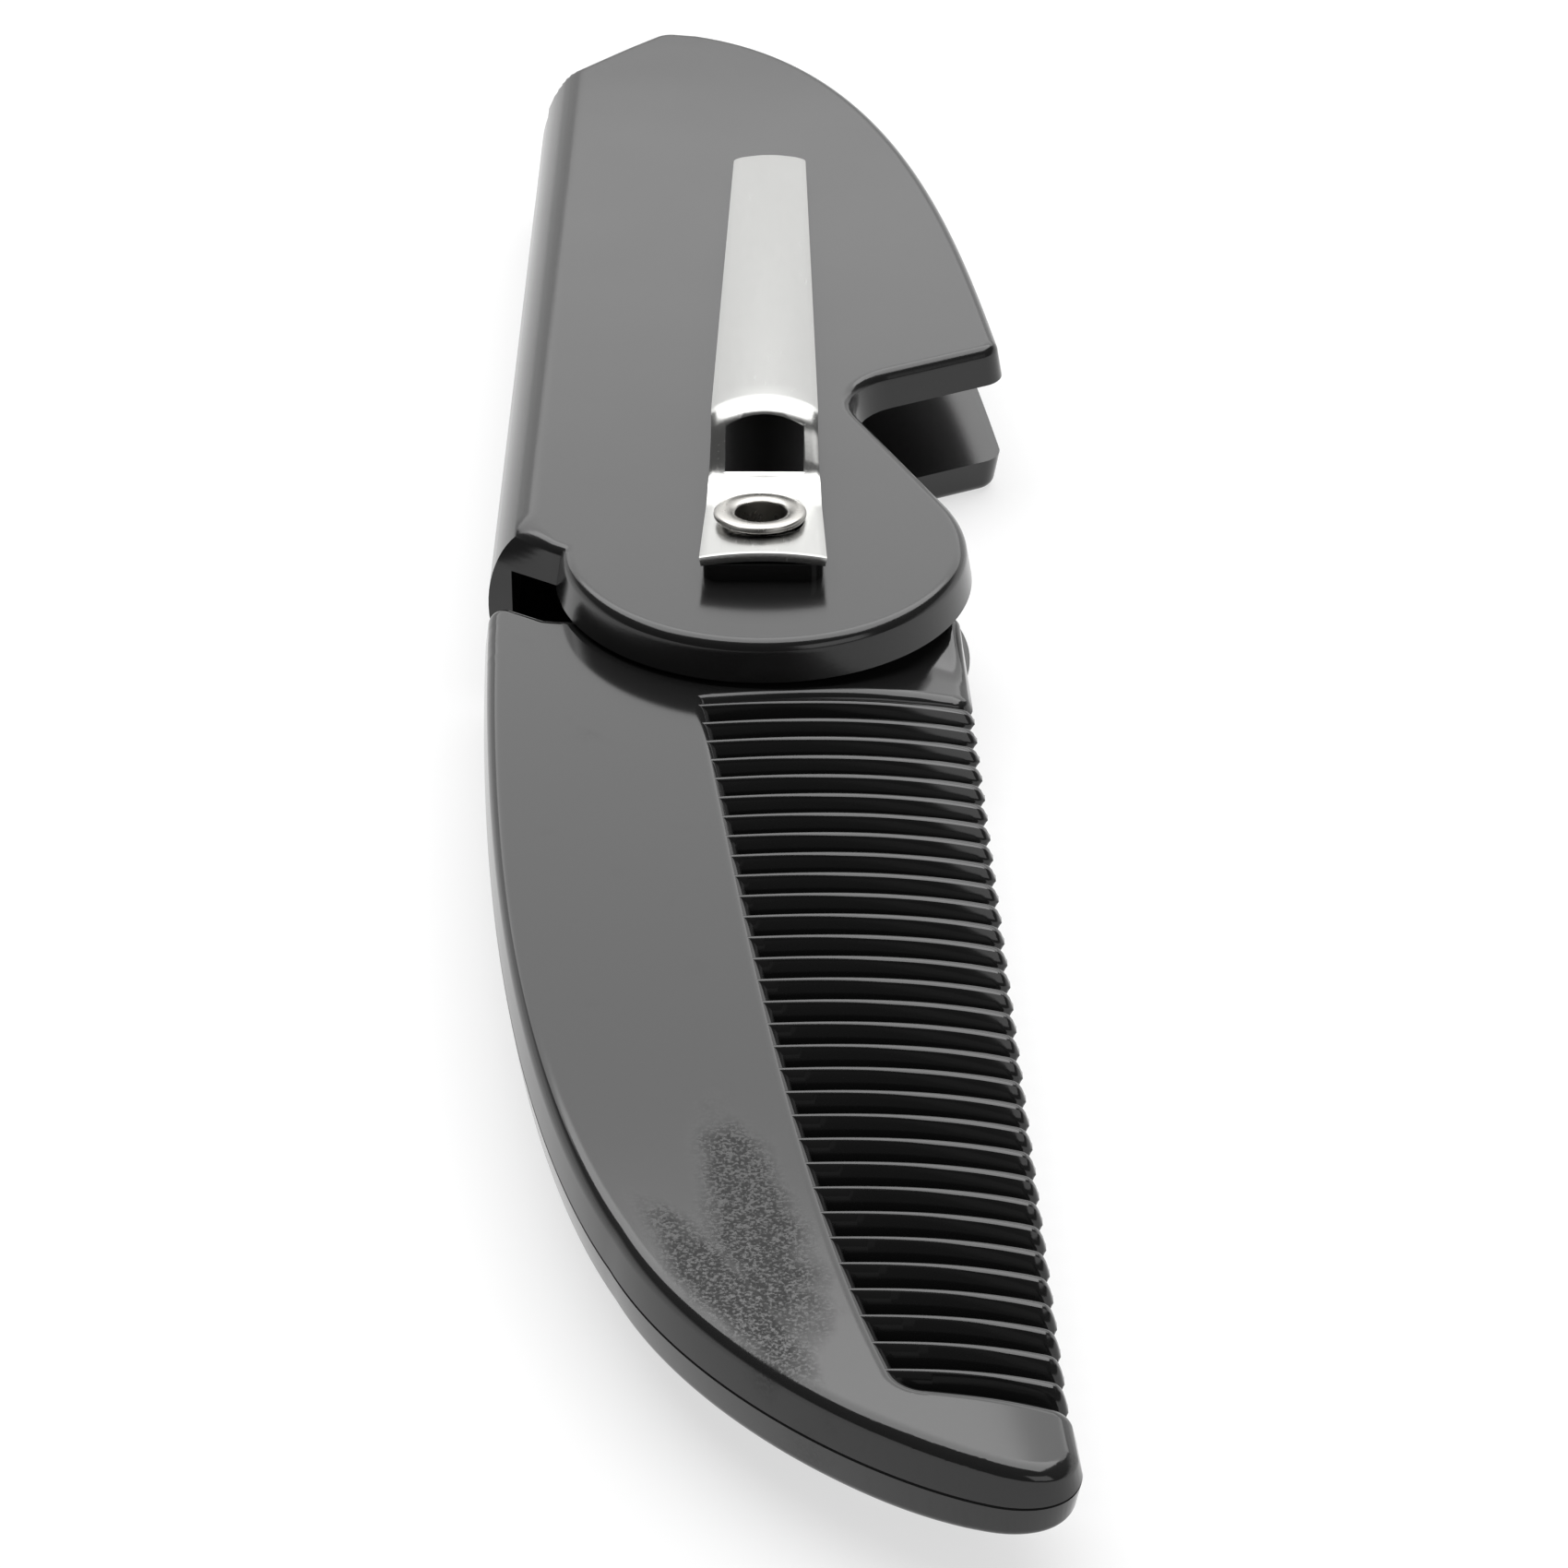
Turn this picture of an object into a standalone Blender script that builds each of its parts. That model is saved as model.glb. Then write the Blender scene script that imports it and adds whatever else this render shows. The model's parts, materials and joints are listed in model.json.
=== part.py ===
"""Folding pocket comb, lying open.

A black moulded handle of two leaves and a spine holds a black comb that swings in its slot
on a hollow rivet. A bent steel pocket clip is fastened by the same rivet.

Metres, +Z up. The comb's tip points to -Y, its teeth to +X and its faces up and down.
The origin is on the surface that the comb lies on, under the middle of its outline.
Outlines are drawn in millimetres about the pivot, seen from above, with Z = 0 on the
surface below. The function place() turns them into metres in the part's frame.
"""
import math

import bmesh
import bpy
from mathutils import Matrix, Vector
from mathutils.geometry import interpolate_bezier

MM = 0.001
PIVOT = Vector((0.604, 1.06))

# Handle, in millimetres: two leaves with the comb's slot between them
LEAF = 2.0
COMB_THICKNESS = 4.0
RUNNING_GAP = 0.3
SLOT = COMB_THICKNESS + 2 * RUNNING_GAP
HANDLE_THICKNESS = 2 * LEAF + SLOT
MIDDLE = HANDLE_THICKNESS / 2
ROUND_END_RADIUS = 10.0
SPINE_X = -13.85
SPINE_ROUNDING = 2.6
SPINE_STEPS = 5
WEB_THICKNESS = 1.25
WEB_FAR_END = 56.3
EDGE_FILLET = 0.4
LEAF_DRAFT = 0.35
FILLET_STEPS = 2
SPINE_STATIONS = (20.0, 40.0)
CHAMFER = ((SPINE_X, 56.6, 2.6), (-10.4, 60.7, 0.0), (-8.8, 62.55, 0.0), (-6.7, 64.8, 1.4))
CHAMFER_STATIONS = (0.3, 0.45, 0.6, 0.72, 0.86)
FAR_TIP = (-4.6, 64.4)
BELLY_HANDLES = ((7.7, 59.9), (10.6, 35.3))
NOTCH_TOP = (12.4, 21.6)
NOTCH_TOP_RADIUS = 1.2
NOTCH_BOTTOM = (3.3, 17.0)
NOTCH_RADIUS = 3.7
NOTCH_EDGE_ANGLE = 24.0
ROUND_END_LAST_ANGLE = -176.0
WEB_NEAR_END = 1.3
WEB_END_INNER = (-10.6, -0.3)

# Comb, in millimetres: its outline is drawn on the mould's parting plane
COMB_DRAFT = 0.25
COMB_EDGE = 0.6
COMB_LEVELS = (0.0, 0.7, 0.91, 1.0)
TANG_RADIUS = 9.6
TANG_ANGLES = (-12.0, 201.0)
SHOULDER = (-13.8, -1.3)
SHOULDER_ROOT = (-10.6, -3.3)
BACK_UPPER = ((-13.0, -25.1), (-10.3, -43.3), (-5.8, -52.7))
BACK_LOWER = ((-2.65, -60.3), (4.6, -65.6), (9.0, -66.95))
TIP_CURVE = ((10.6, -67.45), (12.4, -67.15), (12.6, -65.2))
GUARD_CORNER = (12.4, -62.5)
GUARD_ROOT = (6.0, -61.9)
ROOT_HANDLES = ((-0.6, -24.9), (1.9, -49.9))
HEEL_START = -3.0
HEEL_END = -11.45
CORNER_RADIUS = 1.0
ROOT_START_X = -2.4

# Teeth, in millimetres: one beside the heel and the rest in a row to the guard
TOOTH_COUNT = 31
TOOTH_PITCH = 1.6526
FIRST_TOOTH_Y = -11.746
TOOTH_SLOPES = (0.129, 0.006)
TOOTH_CREST = 0.4
TOOTH_MIDDLE = 1.0
TOOTH_NOSE = 1.1
TOOTH_DROP = (0.334, 0.0843)
TOOTH_DROP_BEND = 2.67
TOOTH_STATIONS = (0.0, 0.45, 0.7, 0.87, 1.0)
NOSE_STATIONS = (0.55, 0.9)
TOOTH_BURIED = 1.2
TOOTH_BELOW_FACE = 0.02
TOOTH_END_HEIGHT = 0.2
TOOTH_LEAST_BELLY = 0.4
TIP_LINE = (9.75, -0.0405)

# Pivot rivet and its bores, in millimetres
RIVET_HOLE_RADIUS = 1.4
RIVET_RADIUS = 1.7
RIVET_LIP_RADIUS = 2.25
RIVET_LIP = 0.45
RIVET_ABOVE_CLIP = 0.15
RIVET_FOOT_RADIUS = 2.6
RIVET_FOOT = 0.4
RIVET_FOOT_ABOVE_FLOOR = 0.1
BORE_RADIUS = 2.0
COUNTERBORE_RADIUS = 2.9
COUNTERBORE_DEPTH = 0.8
ROUND_SIDES = 32
SMOOTH_BELOW = 24.0

# Pocket clip, in millimetres: a strip bent up off a pad on the upper leaf
STEEL = 0.45
PAD_HEIGHTS = (0.8, 0.15)
PAD_SIZE = (5.9, 7.3)
PAD_CENTRE_Y = -0.3
PAD_CORNER = 0.6
PAD_DEPTH = 1.0
PAD_EDGE = 0.1
PLATE_TOP = 1.3
CLIP_PATH = ((-4.1, 1.4, 0.0), (3.9, 0.68, 3.0), (6.1, 4.42, 1.65), (44.4, 0.65, 0.0))
CLIP_WIDTHS = ((-4.0, 6.15), (3.6, 5.6), (6.0, 5.2), (45.0, 4.05))
CLIP_CROWNS = ((-4.0, 0.28), (3.6, 0.15), (5.4, 0.7), (45.0, 0.12))
CLIP_STATIONS = (0.0, 0.25, 0.5, 0.75)
CLIP_COLUMNS = 6
CLIP_CORNER = 0.8
WINDOW_WIDTH = 3.95
WINDOW_START = 1.0
WINDOW_SIDE = 2.3
WINDOW_ARCH = 0.6
WINDOW_REACH = 1.6
WINDOW_PIECES = 6


def clear_scene():
    """Remove what the file holds, so that the script can be run again."""
    for obj in list(bpy.data.objects):
        bpy.data.objects.remove(obj, do_unlink=True)


def collection(name):
    """A collection of the scene, made new."""
    made = bpy.data.collections.new(name)
    bpy.context.scene.collection.children.link(made)
    return made


def plastic_or_steel(name, colour, roughness, metallic):
    """A Principled BSDF with one colour, for the solids."""
    material = bpy.data.materials.new(name)
    material.use_nodes = True
    shader = material.node_tree.nodes["Principled BSDF"]
    shader.inputs["Base Color"].default_value = (*colour, 1.0)
    shader.inputs["Roughness"].default_value = roughness
    shader.inputs["Metallic"].default_value = metallic
    return material


def place(x, y, z):
    """A point in millimetres about the pivot, as metres in the part's frame."""
    return Vector((x + PIVOT.x, y + PIVOT.y, z)) * MM


def bezier(start, handles, end, pieces):
    """Points of a Bezier stretch after its start, up to and with its end."""
    knots = [Vector(p).to_3d() for p in (start, *handles, end)]
    points = interpolate_bezier(knots[0], knots[1], knots[2], knots[3], pieces + 1)
    return [(p.x, p.y) for p in points[1:]]


def arc(radius, start, end, pieces):
    """Points on a circle about the pivot from one angle to another, in degrees."""
    angles = [math.radians(start + (end - start) * i / pieces) for i in range(pieces + 1)]
    return [(radius * math.cos(a), radius * math.sin(a)) for a in angles]


def rounded(corners, pieces, closed=True):
    """Replace each corner (x, y, radius) by an arc that touches both of its sides."""
    points = []
    for i, (x, y, radius) in enumerate(corners):
        at = Vector((x, y))
        end = not closed and i in (0, len(corners) - 1)
        if radius == 0.0 or end:
            points.append((x, y))
            continue
        before = Vector(corners[i - 1][:2]) - at
        after = Vector(corners[(i + 1) % len(corners)][:2]) - at
        half = before.angle(after) / 2
        start = at + before.normalized() * radius / math.tan(half)
        end = at + after.normalized() * radius / math.tan(half)
        middle = (before.normalized() + after.normalized()).normalized()
        centre = at + middle * radius / math.sin(half)
        turn = (start - centre).angle_signed(end - centre)
        for step in range(pieces + 1):
            spoke = Matrix.Rotation(-turn * step / pieces, 2) @ (start - centre)
            points.append(tuple(centre + spoke))
    return points


def inset(outline, distance):
    """Move a clockwise or counter-clockwise outline inwards by a distance."""
    area = sum(a[0] * b[1] - b[0] * a[1] for a, b in zip(outline, outline[1:] + outline[:1]))
    inwards = math.copysign(1.0, area)
    moved = []
    for i, point in enumerate(outline):
        before = (Vector(point) - Vector(outline[i - 1])).normalized()
        after = (Vector(outline[(i + 1) % len(outline)]) - Vector(point)).normalized()
        normal_before = Vector((-before.y, before.x)) * inwards
        normal_after = Vector((-after.y, after.x)) * inwards
        bisector = (normal_before + normal_after).normalized()
        reach = distance / max(bisector.dot(normal_after), 0.5)
        moved.append(tuple(Vector(point) + bisector * reach))
    return moved


def mesh_object(name, bm, target, material=None):
    """Store a bmesh as an object with its faces pointing out."""
    bmesh.ops.recalc_face_normals(bm, faces=bm.faces)
    mesh = bpy.data.meshes.new(name)
    bm.to_mesh(mesh)
    bm.free()
    if material:
        mesh.materials.append(material)
    obj = bpy.data.objects.new(name, mesh)
    target.objects.link(obj)
    return obj


def loft(bm, rings):
    """Skin rings of equal length into a closed body, with a face on the first and the last."""
    loops = [[bm.verts.new(point) for point in ring] for ring in rings]
    count = len(loops[0])
    sides = []
    for lower, upper in zip(loops, loops[1:]):
        for i in range(count):
            j = (i + 1) % count
            sides.append(bm.faces.new((lower[i], lower[j], upper[j], upper[i])))
    bmesh.ops.triangulate(bm, faces=sides)
    bm.faces.new(loops[0])
    bm.faces.new(loops[-1])


def plate(name, layers, target, material=None):
    """A body through outlines at rising heights: rows of (z, outline)."""
    bm = bmesh.new()
    loft(bm, [[place(x, y, z) for x, y in outline] for z, outline in layers])
    return mesh_object(name, bm, target, material)


def as_tool(obj):
    """Mark an object as one that only cuts or joins another."""
    obj.hide_render = True
    obj.display_type = 'WIRE'
    return obj


def round_tool(name, radius, bottom, top, target):
    """A cylinder on the pivot's axis between two heights."""
    bpy.ops.mesh.primitive_cylinder_add(
        vertices=ROUND_SIDES, radius=radius * MM, depth=(top - bottom) * MM,
        location=place(0.0, 0.0, (top + bottom) / 2))
    obj = bpy.context.active_object
    obj.name = name
    for owner in obj.users_collection:
        owner.objects.unlink(obj)
    target.objects.link(obj)
    return as_tool(obj)


def combine(obj, steps):
    """Run Boolean steps of (operation, tool) and keep the result as the object's mesh."""
    for operation, tool in steps:
        modifier = obj.modifiers.new(tool.name, 'BOOLEAN')
        modifier.operation = operation
        modifier.solver = 'EXACT'
        modifier.object = tool
    settle(obj)


def settle(obj):
    """Apply the modifiers and shade the round faces smooth."""
    evaluated = obj.evaluated_get(bpy.context.evaluated_depsgraph_get())
    mesh = bpy.data.meshes.new_from_object(evaluated)
    obj.modifiers.clear()
    obj.data = mesh
    mesh.shade_smooth()
    mesh.set_sharp_from_angle(angle=math.radians(SMOOTH_BELOW))


def edge_inset(depth, radius):
    """How far a filleted edge lies inside its outline at a depth below its face."""
    if depth >= radius:
        return 0.0
    return radius - math.sqrt(radius ** 2 - (radius - depth) ** 2)


def handle_outline():
    """The handle from above: round end, web end, spine, chamfer, belly and finger notch."""
    belly = bezier(FAR_TIP, BELLY_HANDLES, NOTCH_TOP, 12)
    edge = math.radians(NOTCH_EDGE_ANGLE)
    touch = (ROUND_END_RADIUS * math.cos(edge), ROUND_END_RADIUS * math.sin(edge))
    round_end = arc(ROUND_END_RADIUS, NOTCH_EDGE_ANGLE, ROUND_END_LAST_ANGLE, 22)
    corners = [(SPINE_X, WEB_NEAR_END, 0.0)]
    corners += [(SPINE_X, y, 0.0) for y in SPINE_STATIONS]
    corners += [CHAMFER[0]]
    first, second = Vector(CHAMFER[0][:2]), Vector(CHAMFER[1][:2])
    corners += [(*first.lerp(second, share), 0.0) for share in CHAMFER_STATIONS]
    corners += [*CHAMFER[1:], (*FAR_TIP, 0.0)]
    corners += [(x, y, 0.0) for x, y in belly[:-1]]
    corners += [(*NOTCH_TOP, NOTCH_TOP_RADIUS), (*NOTCH_BOTTOM, NOTCH_RADIUS), (*touch, 0.0)]
    corners += [(x, y, 0.0) for x, y in round_end[1:]]
    corners += [(*WEB_END_INNER, 0.0)]
    return rounded(corners, 5)


def handle_blank(target, material):
    """The handle before it is slotted: its edges are rounded and each leaf widens inwards."""
    outline = handle_outline()
    turns = [math.radians(90.0 * i / SPINE_STEPS) for i in range(SPINE_STEPS + 1)]
    rises = {round(MIDDLE * math.sin(turn), 4) for turn in turns} | {MIDDLE - LEAF}
    for i in range(FILLET_STEPS):
        rises.add(round(MIDDLE - EDGE_FILLET * (1 - math.cos(math.pi / 2 * (i + 1) / FILLET_STEPS)), 4))
    layers = []
    for rise in sorted({-r for r in rises} | rises):
        depth = MIDDLE - abs(rise)
        spine = SPINE_X + SPINE_ROUNDING * (1 - math.sqrt(max(1 - (rise / MIDDLE) ** 2, 0.0)))
        flare = LEAF_DRAFT * min(depth, LEAF) / LEAF
        narrowed = inset(outline, edge_inset(depth, EDGE_FILLET) - flare)
        layers.append((MIDDLE + rise, [(max(x, spine), y) for x, y in narrowed]))
    return plate("handle", layers, target, material)


def slot_tool(target):
    """What the slot takes out: everything right of the web and past its two ends."""
    inner = SPINE_X + WEB_THICKNESS
    outline = [(inner, -20.0), (20.0, -20.0), (20.0, 80.0), (-20.0, 80.0),
               (-20.0, WEB_FAR_END), (inner, WEB_FAR_END)]
    layers = [(LEAF, outline), (LEAF + SLOT, outline)]
    return as_tool(plate("slot_tool", layers, target))


def pad_tool(target):
    """The raised pad under the clip's plate, which reaches down into the upper leaf."""
    half_x, half_y = PAD_SIZE[0] / 2, PAD_SIZE[1] / 2
    corners = [(sx * half_x, PAD_CENTRE_Y + sy * half_y, PAD_CORNER)
               for sx, sy in ((-1, -1), (1, -1), (1, 1), (-1, 1))]
    outline = rounded(corners, 3)
    slope = (PAD_HEIGHTS[1] - PAD_HEIGHTS[0]) / PAD_SIZE[1]
    middle = HANDLE_THICKNESS + sum(PAD_HEIGHTS) / 2
    bm = bmesh.new()
    rings = [[place(x, y, HANDLE_THICKNESS - PAD_DEPTH) for x, y in outline]]
    for narrowing, depth in ((0.0, PAD_EDGE), (PAD_EDGE, 0.0)):
        tilted = [(x, y, middle + slope * (y - PAD_CENTRE_Y) - depth) for x, y in inset(outline, narrowing)]
        rings.append([place(x, y, z) for x, y, z in tilted])
    loft(bm, rings)
    return as_tool(mesh_object("pad_tool", bm, target))


def build_handle(parts, tools, material):
    """One moulding: two leaves, the web of the spine, and the clip's pad."""
    handle = handle_blank(parts, material)
    bore = round_tool("handle_bore_tool", BORE_RADIUS, -1.0, HANDLE_THICKNESS + 2.0, tools)
    recess = round_tool("recess_tool", COUNTERBORE_RADIUS, -1.0, COUNTERBORE_DEPTH, tools)
    combine(handle, [('UNION', pad_tool(tools)), ('DIFFERENCE', slot_tool(tools)),
                     ('DIFFERENCE', bore), ('DIFFERENCE', recess)])
    return handle


def tip_x(y):
    """Where the teeth end: a straight line from the heel to the guard."""
    return TIP_LINE[0] + TIP_LINE[1] * y


def root_curve():
    """The line along the back that the teeth grow from, from the heel to the guard."""
    start = (ROOT_START_X, HEEL_END)
    return [start] + bezier(start, ROOT_HANDLES, GUARD_ROOT, 10)


def root_x(y):
    """The back's edge at a tooth, between the points of the root curve."""
    curve = root_curve()
    for upper, lower in zip(curve, curve[1:]):
        if lower[1] <= y <= upper[1]:
            share = (upper[1] - y) / (upper[1] - lower[1])
            return upper[0] + (lower[0] - upper[0]) * share
    return curve[-1][0]


def comb_outline():
    """The comb without teeth, from above: tang, shoulder, back, tip, guard, root and heel."""
    tang = arc(TANG_RADIUS, *TANG_ANGLES, 26)
    upper = bezier(SHOULDER, BACK_UPPER[:2], BACK_UPPER[2], 9)
    lower = bezier(BACK_UPPER[2], BACK_LOWER[:2], BACK_LOWER[2], 7)
    tip = bezier(BACK_LOWER[2], TIP_CURVE[:2], TIP_CURVE[2], 6)
    root = root_curve()
    corners = [(x, y, 0.0) for x, y in tang]
    corners += [(*SHOULDER_ROOT, 0.0), (*SHOULDER, CORNER_RADIUS)]
    corners += [(x, y, 0.0) for x, y in upper + lower + tip]
    corners += [(*GUARD_CORNER, CORNER_RADIUS), (*GUARD_ROOT, CORNER_RADIUS)]
    corners += [(x, y, 0.0) for x, y in reversed(root[:-1])]
    heel_y = HEEL_END + TOOTH_SLOPES[0] * (tip_x(HEEL_END) - ROOT_START_X)
    corners += [(tip_x(HEEL_END), heel_y, CORNER_RADIUS), (tip_x(HEEL_START), HEEL_START, 0.0)]
    return rounded(corners, 4)


def comb_blank(target, material):
    """The comb's body: drafted from its parting plane to both faces, with rounded edges."""
    outline = comb_outline()
    half = COMB_THICKNESS / 2
    layers = []
    for share in sorted({-level for level in COMB_LEVELS} | set(COMB_LEVELS)):
        depth = half * (1 - abs(share))
        narrowing = COMB_DRAFT * abs(share) + edge_inset(depth, COMB_EDGE)
        layers.append((MIDDLE + half * share, inset(outline, narrowing)))
    return plate("comb", layers, target, material)


def tooth_section(x, y, half_height):
    """A tooth's six-sided section: flat crests above and below, widest on the parting plane."""
    ratio = half_height / (COMB_THICKNESS / 2)
    crest = TOOTH_CREST / 2
    belly = TOOTH_LEAST_BELLY + (1 - TOOTH_LEAST_BELLY) * ratio
    middle = crest + (TOOTH_MIDDLE / 2 - crest) * belly
    corners = ((-crest, -1), (crest, -1), (middle, 0), (crest, 1), (-crest, 1), (-middle, 0))
    return [place(x, y + side, MIDDLE + level * half_height) for side, level in corners]


def teeth_tool(target):
    """All the teeth, each a loft from inside the back to a rounded nose."""
    bm = bmesh.new()
    half = COMB_THICKNESS / 2 - TOOTH_BELOW_FACE
    for i in range(TOOTH_COUNT):
        y = FIRST_TOOTH_Y - i * TOOTH_PITCH
        root, tip = root_x(y), tip_x(y)
        slope = TOOTH_SLOPES[0] + (TOOTH_SLOPES[1] - TOOTH_SLOPES[0]) * i / (TOOTH_COUNT - 1)
        length = tip - root - TOOTH_NOSE
        drop = TOOTH_DROP[0] + TOOTH_DROP[1] * length
        sections = [tooth_section(root - TOOTH_BURIED, y - slope * TOOTH_BURIED, half)]
        for share in TOOTH_STATIONS:
            height = half - drop * share ** TOOTH_DROP_BEND
            sections.append(tooth_section(root + length * share, y + slope * length * share, height))
        for share in NOSE_STATIONS:
            height = (half - drop) * math.sqrt(1 - share ** 2)
            reach = length + TOOTH_NOSE * share
            sections.append(tooth_section(root + reach, y + slope * reach, height))
        sections.append(tooth_section(tip, y + slope * (tip - root), TOOTH_END_HEIGHT))
        loft(bm, sections)
    return as_tool(mesh_object("teeth_tool", bm, target))


def build_comb(parts, tools, material):
    """The comb: its body, the teeth joined to it, and the bore for the rivet."""
    comb = comb_blank(parts, material)
    bore = round_tool("comb_bore_tool", BORE_RADIUS, 0.0, HANDLE_THICKNESS, tools)
    combine(comb, [('UNION', teeth_tool(tools)), ('DIFFERENCE', bore)])
    return comb


def build_rivet(parts, material):
    """A hollow rivet: a thin tube with a lip on the clip and a foot in the lower leaf."""
    top = HANDLE_THICKNESS + PLATE_TOP + RIVET_LIP + RIVET_ABOVE_CLIP
    lip = top - RIVET_LIP
    foot = RIVET_FOOT_ABOVE_FLOOR + RIVET_FOOT
    profile = [(RIVET_HOLE_RADIUS, top - 0.2), (RIVET_HOLE_RADIUS + 0.12, top - 0.03),
               (RIVET_HOLE_RADIUS + 0.3, top), (RIVET_LIP_RADIUS - 0.2, top - 0.05),
               (RIVET_LIP_RADIUS, top - 0.22), (RIVET_LIP_RADIUS, lip), (RIVET_RADIUS, lip),
               (RIVET_RADIUS, foot), (RIVET_FOOT_RADIUS, foot),
               (RIVET_FOOT_RADIUS, RIVET_FOOT_ABOVE_FLOOR),
               (RIVET_HOLE_RADIUS, RIVET_FOOT_ABOVE_FLOOR)]
    mesh = bpy.data.meshes.new("pivot_rivet")
    edges = [(i, (i + 1) % len(profile)) for i in range(len(profile))]
    mesh.from_pydata([(r * MM, 0.0, z * MM) for r, z in profile], edges, [])
    mesh.materials.append(material)
    rivet = bpy.data.objects.new("pivot_rivet", mesh)
    rivet.location = place(0.0, 0.0, 0.0)
    parts.objects.link(rivet)
    screw = rivet.modifiers.new("turned", 'SCREW')
    screw.steps = ROUND_SIDES
    screw.render_steps = ROUND_SIDES
    screw.use_merge_vertices = True
    screw.merge_threshold = 0.00001
    settle(rivet)
    return rivet


def along(table, y):
    """A value from a short table of (y, value), on straight lines between its rows."""
    for (y0, value0), (y1, value1) in zip(table, table[1:]):
        if y <= y1:
            share = max(y - y0, 0.0) / (y1 - y0)
            return value0 + (value1 - value0) * share
    return table[-1][1]


def clip_sheet(target, material):
    """The clip as a crowned sheet that follows its bent path, before it is pierced."""
    path = rounded(CLIP_PATH, 4, closed=False)
    start, end = Vector(path[-2]), Vector(path[-1])
    strip = [tuple(start.lerp(end, share)) for share in CLIP_STATIONS[1:]]
    rounding = [tuple(end + (start - end).normalized() * CLIP_CORNER * (1 - math.sin(turn)))
                for turn in (0.0, math.radians(35), math.radians(65))]
    path = path[:-1] + strip + rounding + [tuple(end)]
    bm = bmesh.new()
    rows = []
    for y, z in path:
        width = along(CLIP_WIDTHS, y)
        left = max(end.x - y, 0.0)
        if left < CLIP_CORNER:
            width -= 2 * (CLIP_CORNER - math.sqrt(CLIP_CORNER ** 2 - (CLIP_CORNER - left) ** 2))
        crown = along(CLIP_CROWNS, y)
        row = []
        for column in range(CLIP_COLUMNS + 1):
            across = 2 * column / CLIP_COLUMNS - 1
            height = HANDLE_THICKNESS + z - crown * across ** 2
            row.append(bm.verts.new(place(across * width / 2, y, height)))
        rows.append(row)
    for lower, upper in zip(rows, rows[1:]):
        for i in range(CLIP_COLUMNS):
            bm.faces.new((lower[i], lower[i + 1], upper[i + 1], upper[i]))
    clip = mesh_object("clip", bm, target, material)
    solidify = clip.modifiers.new("steel", 'SOLIDIFY')
    solidify.thickness = STEEL * MM
    solidify.offset = 0.0
    return clip


def window_tool(target):
    """The arched window in the riser, square to the riser's slope."""
    foot, head = Vector(CLIP_PATH[1][:2]), Vector(CLIP_PATH[2][:2])
    up = (head - foot).normalized()
    out = Vector((up.y, -up.x))
    half = WINDOW_WIDTH / 2
    outline = [(-half, 0.0), (half, 0.0)]
    for i in range(WINDOW_PIECES + 1):
        across = 1 - 2 * i / WINDOW_PIECES
        outline.append((half * across, WINDOW_SIDE + WINDOW_ARCH * (1 - across ** 2)))
    rings = []
    for reach in (-WINDOW_REACH, WINDOW_REACH):
        ring = []
        for x, rise in outline:
            at = foot + up * (WINDOW_START + rise) + out * reach
            ring.append(place(x, at.x, HANDLE_THICKNESS + at.y))
        rings.append(ring)
    bm = bmesh.new()
    loft(bm, rings)
    return as_tool(mesh_object("window_tool", bm, target))


def build_clip(parts, tools, material):
    """The pocket clip: plate, riser with its window, and the long sprung strip."""
    clip = clip_sheet(parts, material)
    bore = round_tool("clip_bore_tool", BORE_RADIUS, HANDLE_THICKNESS, HANDLE_THICKNESS + 2.0, tools)
    combine(clip, [('DIFFERENCE', window_tool(tools)), ('DIFFERENCE', bore)])
    return clip


def main():
    clear_scene()
    parts = collection("folding_comb")
    tools = collection("tools")
    black = plastic_or_steel("black_moulded_plastic", (0.012, 0.012, 0.012), 0.2, 0.0)
    comb_black = plastic_or_steel("black_comb_plastic", (0.010, 0.010, 0.010), 0.15, 0.0)
    steel = plastic_or_steel("stainless_strip", (0.62, 0.62, 0.60), 0.25, 1.0)
    nickel = plastic_or_steel("plated_rivet", (0.66, 0.65, 0.63), 0.2, 1.0)
    build_handle(parts, tools, black)
    build_comb(parts, tools, comb_black)
    build_clip(parts, tools, steel)
    build_rivet(parts, nickel)


main()
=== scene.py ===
"""The looks of a folding pocket comb, lying open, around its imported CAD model.

Every piece here stands for one CAD node or is a part of it, and rides on that node's body.
Outlines are in millimetres about the pivot, seen from above, with Z = 0 on the surface that
the comb lies on. The function place() turns them into metres in the frame.
"""
import json
import math

import bmesh
import bpy
from mathutils import Matrix, Vector
from mathutils.geometry import interpolate_bezier


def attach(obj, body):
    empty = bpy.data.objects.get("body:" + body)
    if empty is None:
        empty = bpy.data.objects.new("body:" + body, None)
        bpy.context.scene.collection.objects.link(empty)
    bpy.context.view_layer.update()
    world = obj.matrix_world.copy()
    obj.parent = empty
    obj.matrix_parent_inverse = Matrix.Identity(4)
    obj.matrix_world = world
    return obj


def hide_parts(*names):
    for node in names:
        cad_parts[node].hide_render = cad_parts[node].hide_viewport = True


MM = 0.001

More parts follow.
